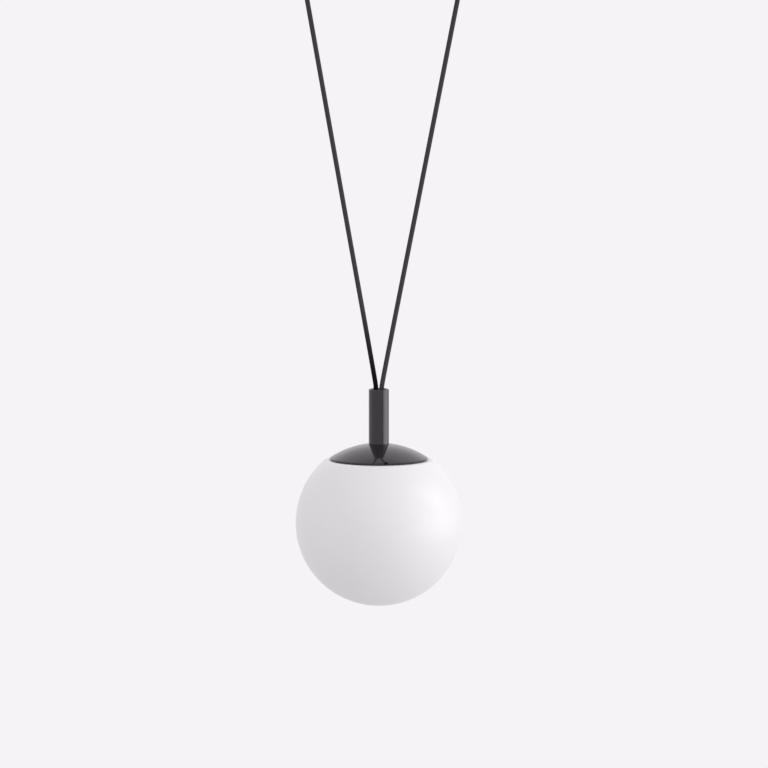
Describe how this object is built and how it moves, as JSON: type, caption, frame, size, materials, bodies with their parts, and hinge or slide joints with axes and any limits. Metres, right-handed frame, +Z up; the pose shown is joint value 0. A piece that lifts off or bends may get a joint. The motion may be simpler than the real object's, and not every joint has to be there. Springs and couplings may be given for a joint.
{
  "type": "pendant lamp",
  "caption": "Pendant lamp: opal glass globe under a glossy charcoal dome cap and straight stem, hung on two textile cords that spread in a V to a slim canopy.",
  "frame": {"origin": "middle of the ceiling face of the bracket", "axes": "+Z up to the ceiling, +X along the canopy to the right cord, -Y to the front"},
  "size_m": [0.2448, 0.2, 0.7785],
  "materials": {
    "lacquer": "glossy charcoal lacquer",
    "zinc_steel": "zinc plated",
    "black_steel": "blackened steel",
    "black_plastic": "moulded nylon",
    "black_bakelite": "moulded phenolic",
    "white_plastic": "moulded nylon",
    "brass": "plain brass",
    "textile": "braided textile sleeve",
    "brown_wire": "wire insulation",
    "blue_wire": "wire insulation",
    "silicone": "soft translucent ring",
    "steatite": "unglazed steatite",
    "bulb_metal": "nickel plated",
    "bulb_diffuser": "opal diffuser",
    "opal_glass": "satin opal glass"
  },
  "bodies": {
    "ceiling": {"ceiling_bracket": "zinc_steel", "canopy": "lacquer", "canopy_screws": "lacquer", "cord_gland_left": "black_plastic", "cord_gland_right": "black_plastic", "gland_nuts": "black_plastic", "terminal_block": "white_plastic", "terminal_screws": "brass", "block_screws": "zinc_steel", "inner_cord_left": "textile", "inner_cord_right": "textile"},
    "cords": {"cord_left": "textile", "cord_right": "textile"},
    "head": {"stem": "lacquer", "cord_grip": "black_plastic", "grip_screw": "zinc_steel", "nipple": "zinc_steel", "cap": "lacquer", "cap_nut": "zinc_steel", "spacer": "zinc_steel", "gallery": "zinc_steel", "gallery_screws": "black_steel", "gasket": "silicone", "holder_cap": "black_bakelite", "holder_body": "black_bakelite", "holder_insert": "steatite", "holder_terminals": "brass", "holder_shell": "brass", "holder_contact": "brass", "lead_left": "brown_wire", "lead_right": "blue_wire", "bulb_cap": "bulb_metal", "bulb_collar": "white_plastic", "bulb_glass": "bulb_diffuser"},
    "globe": {"globe": "opal_glass"}
  },
  "joints": [
    {"name": "pendant_swing", "type": "hinge", "parent": "ceiling", "child": "cords", "pos_m": [0, 0, -0.022], "axis": [1, 0, 0], "range_deg": [-20, 20]},
    {"name": "head_rock", "type": "hinge", "parent": "cords", "child": "head", "pos_m": [-0.0045, 0, -0.514], "axis": [0, 1, 0], "range_deg": [-10, 10], "deforming": ["cord_left", "cord_right"]},
    {"name": "globe_lower", "type": "slide", "parent": "head", "child": "globe", "axis": [0, 0, -1], "range_m": [0, 0.14]}
  ]
}
